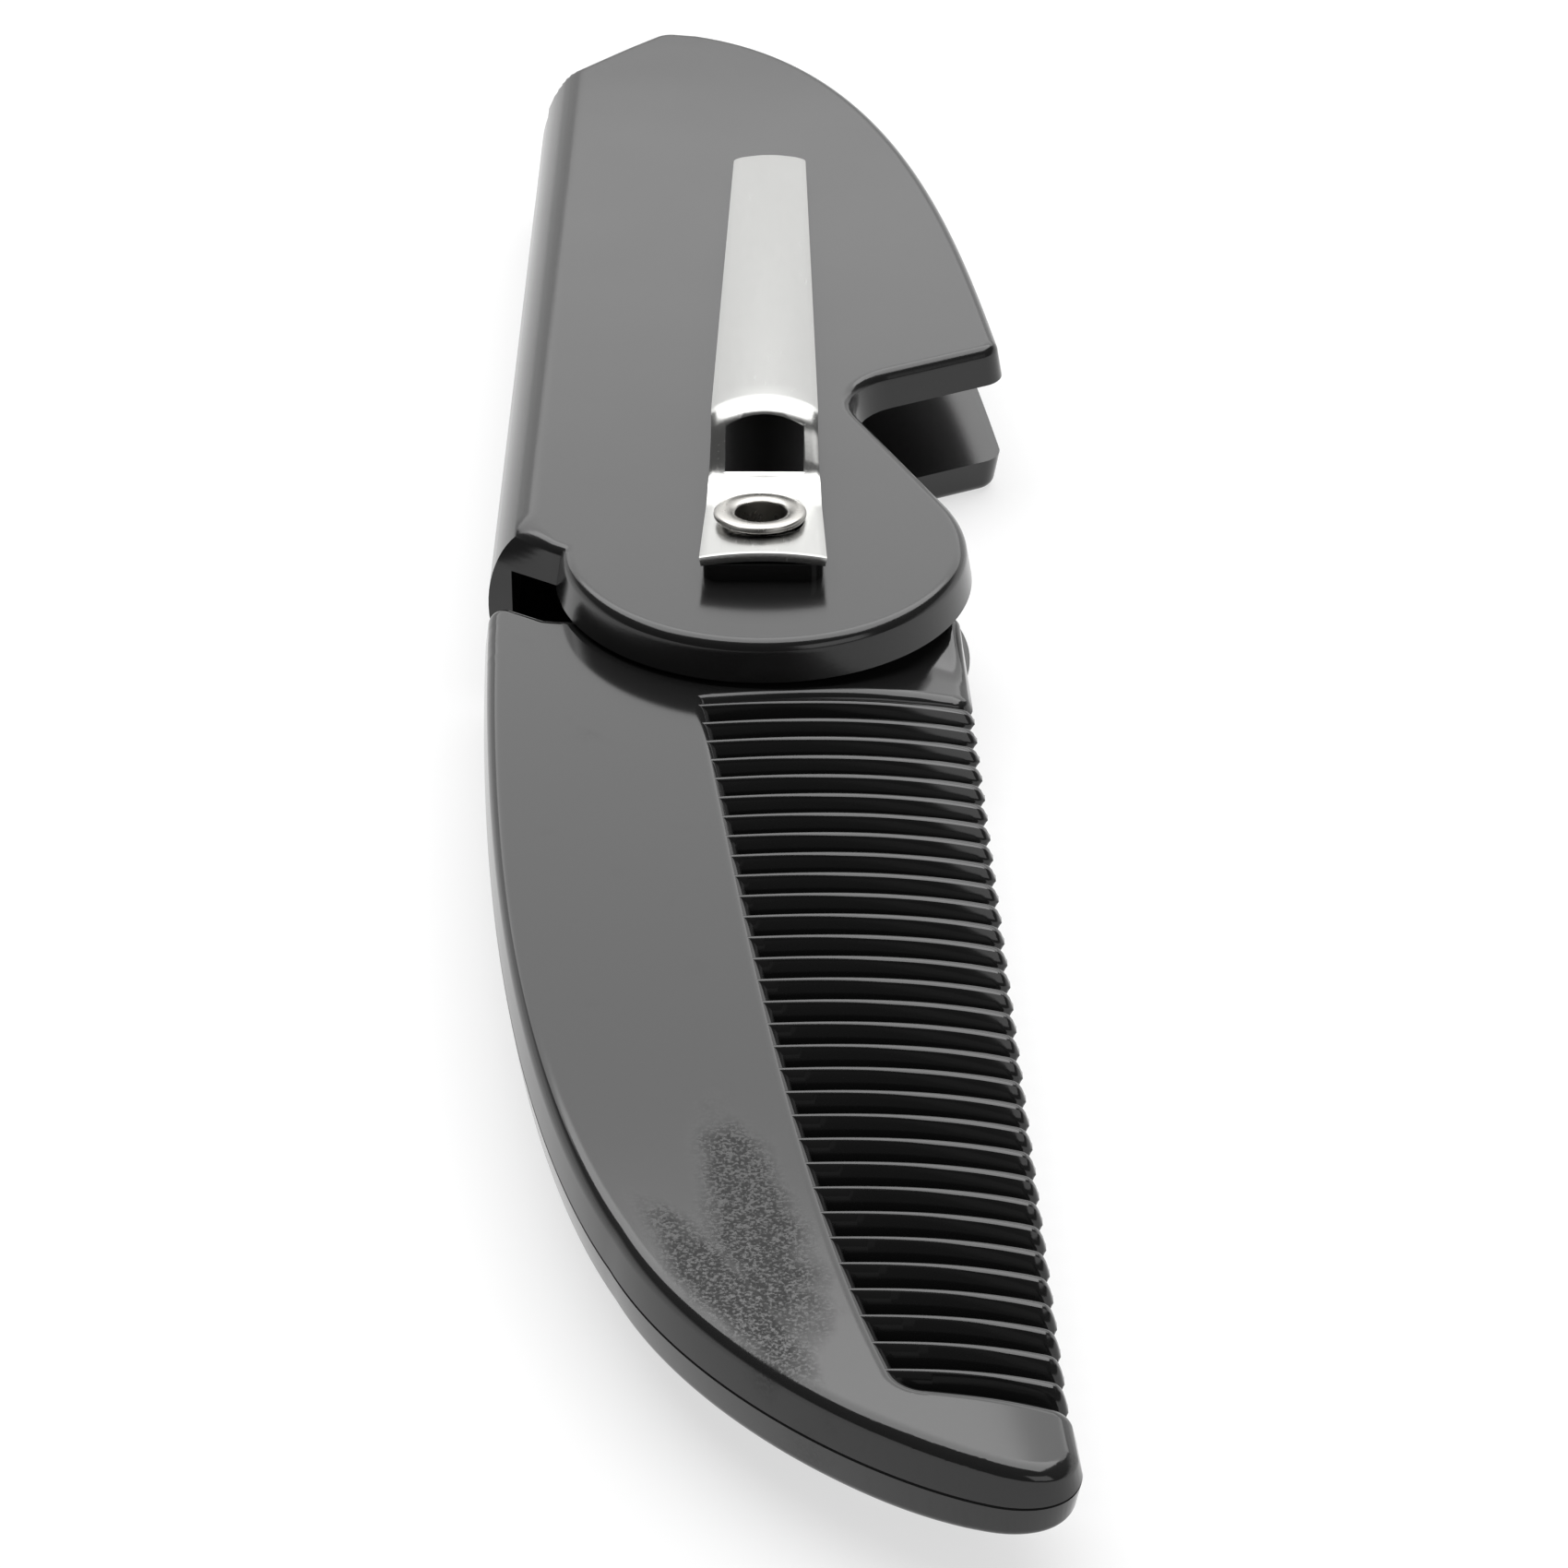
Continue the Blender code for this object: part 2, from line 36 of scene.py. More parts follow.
# Handle, in millimetres: two leaves with the comb's slot between them
LEAF = 2.0
COMB_THICKNESS = 4.0
RUNNING_GAP = 0.3
SLOT = COMB_THICKNESS + 2 * RUNNING_GAP
HANDLE_THICKNESS = 2 * LEAF + SLOT
MIDDLE = HANDLE_THICKNESS / 2
ROUND_END_RADIUS = 10.0
SPINE_X = -13.85
SPINE_ROUNDING = 2.6
SPINE_STEPS = 14
SPINE_STATIONS = 30
WEB_THICKNESS = 1.25
WEB_NEAR_END = 1.3
WEB_FAR_END = 56.3
WEB_END_INNER = (-10.6, -0.3)
EDGE_FILLET = 0.5
LEAF_DRAFT = 0.35
FILLET_STEPS = 8
CAP_MARGIN = 0.08
CHAMFER = ((SPINE_X, 56.6, 2.6), (-10.4, 60.7, 0.0), (-8.8, 62.55, 0.0), (-6.7, 64.8, 1.4))
CHAMFER_STATIONS = 16
FAR_TIP = (-4.6, 64.4)
BELLY_HANDLES = ((7.7, 59.9), (10.6, 35.3))
NOTCH_TOP = (12.4, 21.6)
NOTCH_TOP_RADIUS = 1.2
NOTCH_BOTTOM = (3.3, 17.0)
NOTCH_RADIUS = 3.7
NOTCH_EDGE_ANGLE = 24.0
ROUND_END_LAST_ANGLE = -176.0

# Comb, in millimetres: its outline is drawn on the mould's parting plane
COMB_DRAFT = 0.25
COMB_EDGE = 0.6
PARTING_GROOVE = 0.07
TANG_RADIUS = 9.6
TANG_ANGLES = (-12.0, 201.0)
SHOULDER = (-13.8, -1.3)
SHOULDER_ROOT = (-10.6, -3.3)
BACK_UPPER = ((-13.0, -25.1), (-10.3, -43.3), (-5.8, -52.7))
BACK_LOWER = ((-2.65, -60.3), (4.6, -65.6), (9.0, -66.95))
TIP_CURVE = ((10.6, -67.45), (12.4, -67.15), (12.6, -65.2))
CORNER_RADIUS = 1.0
GUARD_CORNER = (12.4, -62.5)
GUARD_ROOT = (6.0, -61.9)
ROOT_HANDLES = ((-0.6, -24.9), (1.9, -49.9))
ROOT_START_X = -2.4
HEEL_START = -3.0
HEEL_END = -11.45

# Where the guard's end and the heel get thinner, in millimetres
SLIM_FROM_X = 4.5
SLIM_TO_X = 12.6
SLIM_BELOW_Y = -58.0
SLIM_SHARE = 0.28
SLIM_BEND = 2
SLIM_CUTS = 24
BULLNOSE_FROM_X = 7.5
BULLNOSE_SHARE = 0.3
BULLNOSE_BEND = 3
HEEL_FALL = 1.4
HEEL_FALL_FROM_Y = -1.0
HEEL_FALL_TO_Y = -8.0
HEEL_MARGIN = 1.0

# Teeth, in millimetres
TOOTH_COUNT = 31
TOOTH_PITCH = 1.6526
FIRST_TOOTH_Y = -11.746
TOOTH_SLOPES = (0.129, 0.006)
TOOTH_BURIED = 1.2
TIP_LINE = (9.75, -0.0405)
TOOTH_SIZES = {
    "Crest width": 0.22,
    "Crest per length": 0.008,
    "Crest rounding": 0.03,
    "Middle width": 1.0,
    "Half height": 1.97,
    "Crest fall": 0.334,
    "Fall per length": 0.0843,
    "Nose length": 0.8,
}
CREST_BEND = 2.67
NOSE_BEND = 4.0
NOSE_WIDTH_BEND = 0.25
NOSE_END = 0.05
CREST_AT_ROOT = 0.75
CREST_WIDENING = 0.5
TOOTH_RINGS = 72
TOOTH_RING_POINTS = 32

# Pivot eyelet and its bores, in millimetres
EYELET_HOLE_RADIUS = 1.28
EYELET_RADIUS = 1.7
LIP_RADIUS = 2.3
LIP_THICKNESS = 0.5
LIP_TOP = 1.83
LIP_STEPS = 18
LIP_FLATNESS = 0.7
LIP_SHIFT = -0.18
LIP_SLOPE = 0.09
LIP_ANGLES = (-90.0, 180.0)
HOLE_UNEVEN = 0.09
HOLE_UNEVEN_ANGLE = 125.0
FOOT_RADIUS = 2.6
FOOT_THICKNESS = 0.4
FOOT_ABOVE_FLOOR = 0.1
BORE_RADIUS = 2.0
COUNTERBORE_RADIUS = 2.9
COUNTERBORE_DEPTH = 0.8
ROUND_SIDES = 96

# How far the cutting tools reach past what they cut, in millimetres
TOOL_BELOW = 1.0
TOOL_ABOVE = 2.0
SLOT_TOOL_NEAR = -20.0
SLOT_TOOL_FAR = 80.0
SLOT_TOOL_SIDE = 20.0

# Pocket clip, in millimetres: a strip bent up off a pad on the upper leaf
STEEL = 0.45
PAD_HEIGHTS = (0.93, 0.22)
PAD_SIZE = (5.9, 7.3)
PAD_CENTRE_Y = -0.3
PAD_CORNER = 0.7
PAD_DEPTH = 1.0
PAD_EDGE = 0.06
CLIP_PATH = ((-4.1, 1.4, 0.0), (3.9, 0.68, 3.0), (6.1, 4.42, 1.65), (44.4, 0.65, 0.0))
CLIP_WIDTHS = ((-4.0, 6.15), (3.6, 5.6), (6.0, 5.2), (44.4, 4.05))
CLIP_CROWNS = ((-4.0, 0.28), (3.6, 0.15), (5.4, 0.7), (44.4, 0.12))
CLIP_STATIONS = 24
CLIP_COLUMNS = 16
CLIP_CORNER = 0.8
CLIP_CORNER_STEPS = 8
CLIP_EDGE = 0.05
CLIP_EDGE_STEPS = 2
CLIP_EDGE_ABOVE = 50.0
WINDOW_WIDTH = 3.95
WINDOW_START = 1.0
WINDOW_SIDE = 2.3
WINDOW_ARCH = 0.6
WINDOW_REACH = 1.6
WINDOW_PIECES = 24

# How smooth the curves are, and from what angle in degrees an edge is shaded as a real one
BEZIER_PIECES = 48
ROUNDING_PIECES = 8
CIRCLE_PIECES = 72
SHARP_ABOVE = 32.0

# The least number that an inset corner divides by, so that a sharp corner makes no spike
MITRE_LIMIT = 0.5

# Heights that agree to this many decimals of a millimetre share one ring of points
HEIGHT_DIGITS = 4

# Scuffed patches on the comb's face. Each row is x, y, half length and half width in
# millimetres, and turn in degrees.
SCUFFS = ((0.0, -52.0, 11.0, 2.6, -78.0), (-1.1, -56.5, 9.0, 1.7, -59.0))
SCUFF_RAGGEDNESS = 0.6
SCUFF_EDGE = (0.1, 0.55)
SCUFF_GRAINS = (0.36, 0.54)

# The world's brightness, low behind the comb and elsewhere, and where it changes
WORLD_PALE = 1.0
WORLD_DARK = 0.1
WORLD_TILT = (0.0, -0.3, 1.0)
WORLD_FADE = 0.2

# The floor's half width, and the near limit of the view, in metres
FLOOR_HALF = 3.0
VIEW_NEAR = 0.01

# Camera, in millimetres from the pivot on the upper leaf's face
CAMERA_PLACE = (1.82, -197.9, 109.5)
CAMERA_PITCH = 32.0
CAMERA_HEADING = 0.236
FOCAL_PIXELS = 4943.0
IMAGE_PIXELS = 1700.0
SENSOR_MM = 36.0

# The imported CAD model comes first, because every piece is placed about its joint
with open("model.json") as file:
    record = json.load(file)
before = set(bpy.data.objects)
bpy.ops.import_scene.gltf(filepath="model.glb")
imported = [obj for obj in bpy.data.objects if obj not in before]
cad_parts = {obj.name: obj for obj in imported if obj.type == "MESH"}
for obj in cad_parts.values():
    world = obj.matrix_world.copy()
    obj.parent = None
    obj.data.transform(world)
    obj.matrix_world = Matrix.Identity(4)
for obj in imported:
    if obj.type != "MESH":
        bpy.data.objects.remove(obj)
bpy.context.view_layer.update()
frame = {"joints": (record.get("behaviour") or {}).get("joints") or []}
PIVOT = Vector(frame["joints"][0]["pos_m"]).to_2d() / MM


def place(x, y, z):
    """A point in millimetres about the pivot, as metres in the frame."""
    return Vector((x + PIVOT.x, y + PIVOT.y, z)) * MM


# Outlines

def bezier(start, handles, end):
    """Points of a Bezier stretch after its start, up to and with its end."""
    knots = [Vector(p).to_3d() for p in (start, *handles, end)]
    points = interpolate_bezier(knots[0], knots[1], knots[2], knots[3], BEZIER_PIECES + 1)
    return [(p.x, p.y) for p in points[1:]]


def arc(radius, start, end):
    """Points on a circle about the pivot from one angle to another, in degrees."""
    turns = [start + (end - start) * i / CIRCLE_PIECES for i in range(CIRCLE_PIECES + 1)]
    angles = [math.radians(turn) for turn in turns]
    return [(radius * math.cos(a), radius * math.sin(a)) for a in angles]


def corner_reach(corners, i):
    """How far from a corner (x, y, radius) its arc starts."""
    at = Vector(corners[i][:2])
    before = Vector(corners[i - 1][:2]) - at
    after = Vector(corners[(i + 1) % len(corners)][:2]) - at
    return corners[i][2] / math.tan(before.angle(after) / 2)


def rounded(corners, closed=True):
    """Replace each corner (x, y, radius) by an arc in place of the plain points that it spans."""
    arcs = [(c[:2], corner_reach(corners, i)) for i, c in enumerate(corners) if c[2] > 0.0]
    corners = [c for c in corners
               if c[2] > 0.0 or all(math.dist(c[:2], at) > reach for at, reach in arcs)]
    points = []
    for i, (x, y, radius) in enumerate(corners):
        at = Vector((x, y))
        loose_end = not closed and i in (0, len(corners) - 1)
        if radius == 0.0 or loose_end:
            points.append((x, y))
            continue
        before = Vector(corners[i - 1][:2]) - at
        after = Vector(corners[(i + 1) % len(corners)][:2]) - at
        half = before.angle(after) / 2
        start = at + before.normalized() * radius / math.tan(half)
        end = at + after.normalized() * radius / math.tan(half)
        middle = (before.normalized() + after.normalized()).normalized()
        centre = at + middle * radius / math.sin(half)
        turn = (start - centre).angle_signed(end - centre)
        for step in range(ROUNDING_PIECES + 1):
            spoke = Matrix.Rotation(-turn * step / ROUNDING_PIECES, 2) @ (start - centre)
            points.append(tuple(centre + spoke))
    return points


def inset(outline, distance):
    """Move an outline inwards by a distance, or outwards by a negative one."""
    area = sum(a[0] * b[1] - b[0] * a[1] for a, b in zip(outline, outline[1:] + outline[:1]))
    inwards = math.copysign(1.0, area)
    moved = []
    for i, point in enumerate(outline):
        before = (Vector(point) - Vector(outline[i - 1])).normalized()
        after = (Vector(outline[(i + 1) % len(outline)]) - Vector(point)).normalized()
        normal_before = Vector((-before.y, before.x)) * inwards
        normal_after = Vector((-after.y, after.x)) * inwards
        bisector = (normal_before + normal_after).normalized()
        reach = distance / max(bisector.dot(normal_after), MITRE_LIMIT)
        moved.append(tuple(Vector(point) + bisector * reach))
    return moved


# Meshes

def mesh_object(name, bm):
    """Store a bmesh as an object with its faces pointing out."""
    bmesh.ops.recalc_face_normals(bm, faces=bm.faces)
    mesh = bpy.data.meshes.new(name)
    bm.to_mesh(mesh)
    bm.free()
    obj = bpy.data.objects.new(name, mesh)
    bpy.context.scene.collection.objects.link(obj)
    return obj


def loft(bm, rings):
    """Skin rings of equal length into a closed body, with a face on the first and the last."""
    loops = [[bm.verts.new(point) for point in ring] for ring in rings]
    count = len(loops[0])
    sides = []
    for lower, upper in zip(loops, loops[1:]):
        for i in range(count):
            j = (i + 1) % count
            sides.append(bm.faces.new((lower[i], lower[j], upper[j], upper[i])))
    bmesh.ops.triangulate(bm, faces=sides)
    bm.faces.new(loops[0])
    bm.faces.new(loops[-1])


def plate(name, layers):
    """A body through outlines at rising heights: rows of (z, outline)."""
    bm = bmesh.new()
    loft(bm, [[place(x, y, z) for x, y in outline] for z, outline in layers])
    return mesh_object(name, bm)


def round_tool(name, radius, bottom, top):
    """A cylinder on the pivot's axis between two heights, to cut with."""
    outline = arc(radius, 0.0, 360.0)[:-1]
    return plate(name, [(bottom, outline), (top, outline)])


def combine(obj, steps):
    """Run Boolean steps, each an (operation, tool) pair, then remove the tools."""
    for operation, tool in steps:
        modifier = obj.modifiers.new(tool.name, 'BOOLEAN')
        modifier.operation = operation
        modifier.solver = 'EXACT'
        modifier.object = tool
    settle(obj)
    for _, tool in steps:
        bpy.data.objects.remove(tool, do_unlink=True)


def settle(obj):
    """Apply the modifiers, and shade smooth all but the real edges."""
    evaluated = obj.evaluated_get(bpy.context.evaluated_depsgraph_get())
    mesh = bpy.data.meshes.new_from_object(evaluated)
    obj.modifiers.clear()
    obj.data = mesh
    mesh.shade_smooth()
    mesh.set_sharp_from_angle(angle=math.radians(SHARP_ABOVE))


def dress(obj, body, material, node=None):
    """Give a piece its material, its body and, where it stands for one, its CAD node."""
    obj.data.materials.clear()
    obj.data.materials.append(material)
    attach(obj, body)
    if node:
        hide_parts(node)


def fillet_depths(radius):
    """Depths below a face at which a rounded edge gets a ring of points."""
    quarter = math.pi / 2
    return [radius * (1 - math.cos(quarter * i / FILLET_STEPS)) for i in range(FILLET_STEPS + 1)]


def edge_inset(depth, radius):
    """How far a rounded edge lies inside its outline at a depth below its face."""
    if depth >= radius:
        return 0.0
    return radius - math.sqrt(radius ** 2 - (radius - depth) ** 2)


# Handle

def handle_outline():
    """The handle from above: spine, chamfer, belly, finger notch, round end and web end."""
    touch_angle = math.radians(NOTCH_EDGE_ANGLE)
    touch = (ROUND_END_RADIUS * math.cos(touch_angle), ROUND_END_RADIUS * math.sin(touch_angle))
    length = CHAMFER[0][1] - WEB_NEAR_END
    corners = [(SPINE_X, WEB_NEAR_END + length * i / SPINE_STATIONS, 0.0)
               for i in range(SPINE_STATIONS - 1)]
    first, second = Vector(CHAMFER[0][:2]), Vector(CHAMFER[1][:2])
    corners += [CHAMFER[0]]
    corners += [(*first.lerp(second, i / CHAMFER_STATIONS), 0.0)
                for i in range(1, CHAMFER_STATIONS)]
    corners += [*CHAMFER[1:], (*FAR_TIP, 0.0)]
    corners += [(x, y, 0.0) for x, y in bezier(FAR_TIP, BELLY_HANDLES, NOTCH_TOP)[:-1]]
    corners += [(*NOTCH_TOP, NOTCH_TOP_RADIUS), (*NOTCH_BOTTOM, NOTCH_RADIUS), (*touch, 0.0)]
    round_end = arc(ROUND_END_RADIUS, NOTCH_EDGE_ANGLE, ROUND_END_LAST_ANGLE)
    corners += [(x, y, 0.0) for x, y in round_end[1:]]
    corners += [(*WEB_END_INNER, 0.0)]
    return rounded(corners)


def handle_blank():
    """The handle before it is slotted: rounded spine, rounded edges, leaves wider inwards."""
    outline = handle_outline()
    quarter = math.pi / 2
    depths = [MIDDLE * (1 - math.sin(quarter * i / SPINE_STEPS)) for i in range(SPINE_STEPS + 1)]
    depths += fillet_depths(EDGE_FILLET)
    depths = {round(depth, HEIGHT_DIGITS) for depth in depths} | {LEAF}
    layers = []
    for depth in sorted(depths):
        rise = MIDDLE - depth
        spine = SPINE_X + SPINE_ROUNDING * (1 - math.sqrt(1 - (rise / MIDDLE) ** 2))
        flare = LEAF_DRAFT * min(depth, LEAF) / LEAF
        narrowed = inset(outline, edge_inset(depth, EDGE_FILLET) - flare)
        layers.append((rise, [(max(x, spine), y) for x, y in narrowed]))
    upper = [(MIDDLE, inset(layers[0][1], CAP_MARGIN))] + layers
    lower = [(-rise, ring) for rise, ring in upper[:-1]]
    return plate("handle_moulding", [(MIDDLE + rise, ring) for rise, ring in lower + upper[::-1]])


def slot_tool():
    """What the slot takes out: everything right of the web and past its two ends."""
    inner = SPINE_X + WEB_THICKNESS
    near, far, side = SLOT_TOOL_NEAR, SLOT_TOOL_FAR, SLOT_TOOL_SIDE
    outline = [(inner, near), (side, near), (side, far), (-side, far),
               (-side, WEB_FAR_END), (inner, WEB_FAR_END)]
    return plate("slot_tool", [(LEAF, outline), (LEAF + SLOT, outline)])


def pad_tool():
    """The raised pad under the clip's plate, which reaches down into the upper leaf."""
    half_x, half_y = PAD_SIZE[0] / 2, PAD_SIZE[1] / 2
    sides = ((-1, -1), (1, -1), (1, 1), (-1, 1))
    outline = rounded([(sx * half_x, PAD_CENTRE_Y + sy * half_y, PAD_CORNER) for sx, sy in sides])
    slope = (PAD_HEIGHTS[1] - PAD_HEIGHTS[0]) / PAD_SIZE[1]
    middle = HANDLE_THICKNESS + sum(PAD_HEIGHTS) / 2
    rings = [[place(x, y, HANDLE_THICKNESS - PAD_DEPTH) for x, y in outline]]
    for depth in fillet_depths(PAD_EDGE)[::-1]:
        narrowed = inset(outline, edge_inset(depth, PAD_EDGE))
        rings.append([place(x, y, middle + slope * (y - PAD_CENTRE_Y) - depth)
                      for x, y in narrowed])
    bm = bmesh.new()
    loft(bm, rings)
    return mesh_object("pad_tool", bm)


def make_handle():
    """One moulding: two leaves, the web of the spine, and the clip's pad."""
    handle = handle_blank()
    bore = round_tool("bore_tool", BORE_RADIUS, -TOOL_BELOW, HANDLE_THICKNESS + TOOL_ABOVE)
    recess = round_tool("recess_tool", COUNTERBORE_RADIUS, -TOOL_BELOW, COUNTERBORE_DEPTH)
    combine(handle, [('UNION', pad_tool()), ('DIFFERENCE', slot_tool()),
                     ('DIFFERENCE', bore), ('DIFFERENCE', recess)])
    return handle


# Comb

def tip_x(y):
    """Where the teeth end: a straight line from the heel to the guard."""
    return TIP_LINE[0] + TIP_LINE[1] * y


def root_curve():
    """The line along the back that the teeth grow from, from the heel to the guard."""
    start = (ROOT_START_X, HEEL_END)
    return [start] + bezier(start, ROOT_HANDLES, GUARD_ROOT)


def root_x(y):
    """The back's edge at a tooth, between the points of the root curve."""
    curve = root_curve()
    for upper, lower in zip(curve, curve[1:]):
        if lower[1] <= y <= upper[1]:
            share = (upper[1] - y) / (upper[1] - lower[1])
            return upper[0] + (lower[0] - upper[0]) * share
    return curve[-1][0]


def comb_outline():
    """The comb without teeth, from above: tang, shoulder, back, tip, guard, root and heel."""
    upper = bezier(SHOULDER, BACK_UPPER[:2], BACK_UPPER[2])
    lower = bezier(BACK_UPPER[2], BACK_LOWER[:2], BACK_LOWER[2])
    tip = bezier(BACK_LOWER[2], TIP_CURVE[:2], TIP_CURVE[2])
    corners = [(x, y, 0.0) for x, y in arc(TANG_RADIUS, *TANG_ANGLES)]
    corners += [(*SHOULDER_ROOT, 0.0), (*SHOULDER, CORNER_RADIUS)]
    corners += [(x, y, 0.0) for x, y in upper + lower + tip]
    corners += [(*GUARD_CORNER, CORNER_RADIUS), (*GUARD_ROOT, CORNER_RADIUS)]
    corners += [(x, y, 0.0) for x, y in reversed(root_curve()[:-1])]
    heel_y = HEEL_END + TOOTH_SLOPES[0] * (tip_x(HEEL_END) - ROOT_START_X)
    corners += [(tip_x(HEEL_END), heel_y, CORNER_RADIUS), (tip_x(HEEL_START), HEEL_START, 0.0)]
    return rounded(corners)


def slim_guard(obj):
    """Let the guard get thinner towards the teeth's tips, and round its upper face at the end."""
    bm = bmesh.new()
    bm.from_mesh(obj.data)
    span = SLIM_TO_X - SLIM_FROM_X
    for i in range(SLIM_CUTS):
        at = place(SLIM_FROM_X + span * math.sqrt(i / SLIM_CUTS), 0.0, 0.0)
        bmesh.ops.bisect_plane(bm, geom=bm.verts[:] + bm.edges[:] + bm.faces[:],
                               plane_co=at, plane_no=(1.0, 0.0, 0.0))
    guard_start = place(SLIM_FROM_X, SLIM_BELOW_Y, 0.0)
    for vert in bm.verts:
        if vert.co.y < guard_start.y and vert.co.x > guard_start.x:
            share = min((vert.co.x - guard_start.x) / (span * MM), 1.0)
            past_turn = max(vert.co.x / MM - PIVOT.x - BULLNOSE_FROM_X, 0.0)
            turned = min(past_turn / (SLIM_TO_X - BULLNOSE_FROM_X), 1.0)
            left = 1 - SLIM_SHARE * share ** SLIM_BEND
            if vert.co.z > MIDDLE * MM:
                left *= 1 - BULLNOSE_SHARE * turned ** BULLNOSE_BEND
            vert.co.z = MIDDLE * MM + (vert.co.z - MIDDLE * MM) * left
    bm.to_mesh(obj.data)
    bm.free()


def eased(share):
    """A share from 0 to 1 that starts and ends gently."""
    return share ** 2 * (3 - 2 * share)


def lower_heel(obj):
    """Let the heel fall away towards its outer end, in line with the first tooth's crest."""
    bm = bmesh.new()
    bm.from_mesh(obj.data)
    length = tip_x(HEEL_END) - ROOT_START_X
    depth = HEEL_FALL_FROM_Y - HEEL_FALL_TO_Y
    cuts = [((ROOT_START_X + length * i / SLIM_CUTS, 0.0), (1.0, 0.0, 0.0))
            for i in range(SLIM_CUTS)]
    cuts += [((0.0, HEEL_FALL_FROM_Y - depth * i / SLIM_CUTS), (0.0, 1.0, 0.0))
             for i in range(SLIM_CUTS + 1)]
    for at, across in cuts:
        heel = [face for face in bm.faces
                if HEEL_END - HEEL_MARGIN < face.calc_center_median().y / MM - PIVOT.y < 0.0]
        parts = {part for face in heel for part in (face, *face.edges, *face.verts)}
        bmesh.ops.bisect_plane(bm, geom=list(parts), plane_co=place(*at, 0.0), plane_no=across)
    for vert in bm.verts:
        x, y = vert.co.x / MM - PIVOT.x, vert.co.y / MM - PIVOT.y
        if y < HEEL_END or x < ROOT_START_X:
            continue
        along_tooth = min((x - ROOT_START_X) / length, 1.0)
        from_tang = min(max((HEEL_FALL_FROM_Y - y) / depth, 0.0), 1.0)
        fall = HEEL_FALL * along_tooth ** CREST_BEND * eased(from_tang)
        vert.co.z = MIDDLE * MM + (vert.co.z - MIDDLE * MM) * (1 - fall / (COMB_THICKNESS / 2))
    bm.to_mesh(obj.data)
    bm.free()


def make_comb_back():
    """The comb's solid part: drafted to both faces, with rounded edges and a parting groove."""
    outline = comb_outline()
    half = COMB_THICKNESS / 2
    levels = [(half, COMB_DRAFT + COMB_EDGE + CAP_MARGIN)]
    for depth in fillet_depths(COMB_EDGE):
        rise = half - depth
        levels.append((rise, COMB_DRAFT * rise / half + edge_inset(depth, COMB_EDGE)))
    levels.append((PARTING_GROOVE, 0.0))
    below = [(-rise, distance) for rise, distance in levels]
    rows = below + [(0.0, PARTING_GROOVE)] + levels[::-1]
    layers = [(MIDDLE + rise, inset(outline, distance)) for rise, distance in rows]
    comb = plate("comb_back", layers)
    bore = round_tool("comb_bore_tool", BORE_RADIUS, 0.0, HANDLE_THICKNESS)
    combine(comb, [('DIFFERENCE', bore)])
    slim_guard(comb)
    lower_heel(comb)
    return comb


def add(tree, kind, inputs=None, **settings):
    """Add a node with its settings; an input is a value, a socket or a node's first output."""
    node = tree.nodes.new(kind)
    for name, value in settings.items():
        setattr(node, name, value)
    for socket, value in (inputs or {}).items():
        if isinstance(value, bpy.types.Node):
            value = value.outputs[0]
        if isinstance(value, bpy.types.NodeSocket):
            tree.links.new(value, node.inputs[socket])
        else:
            node.inputs[socket].default_value = value
    return node


def maths(tree, operation, *values):
    """Add a maths node, in a tree of either kind, on one to three values, sockets or nodes."""
    return add(tree, 'ShaderNodeMath', dict(enumerate(values)), operation=operation)


def tooth_heights(tree, sizes):
    """How far a tooth has shrunk along its line, and half of its height there.

    The height falls slowly from the root, then rounds off over the nose.
    """
    spot = add(tree, 'GeometryNodeSplineParameter').outputs
    whole = add(tree, 'GeometryNodeSplineLength').outputs["Length"]
    fall = maths(tree, 'MULTIPLY_ADD', whole, sizes["Fall per length"], sizes["Crest fall"])
    bend = maths(tree, 'POWER', spot["Factor"], CREST_BEND)
    fallen = maths(tree, 'MULTIPLY', bend, fall)
    straight = maths(tree, 'SUBTRACT', sizes["Half height"], fallen)
    to_tip = maths(tree, 'SUBTRACT', whole, spot["Length"])
    into_nose = add(tree, 'ShaderNodeMapRange', {
        "Value": to_tip, "From Max": sizes["Nose length"], "To Min": 1.0, "To Max": 0.0})
    round_off = maths(tree, 'POWER', into_nose, NOSE_BEND)
    left = maths(tree, 'SUBTRACT', 1.0, round_off)
    shrunk = maths(tree, 'MAXIMUM', left, NOSE_END)
    return shrunk, maths(tree, 'MULTIPLY', straight, shrunk)


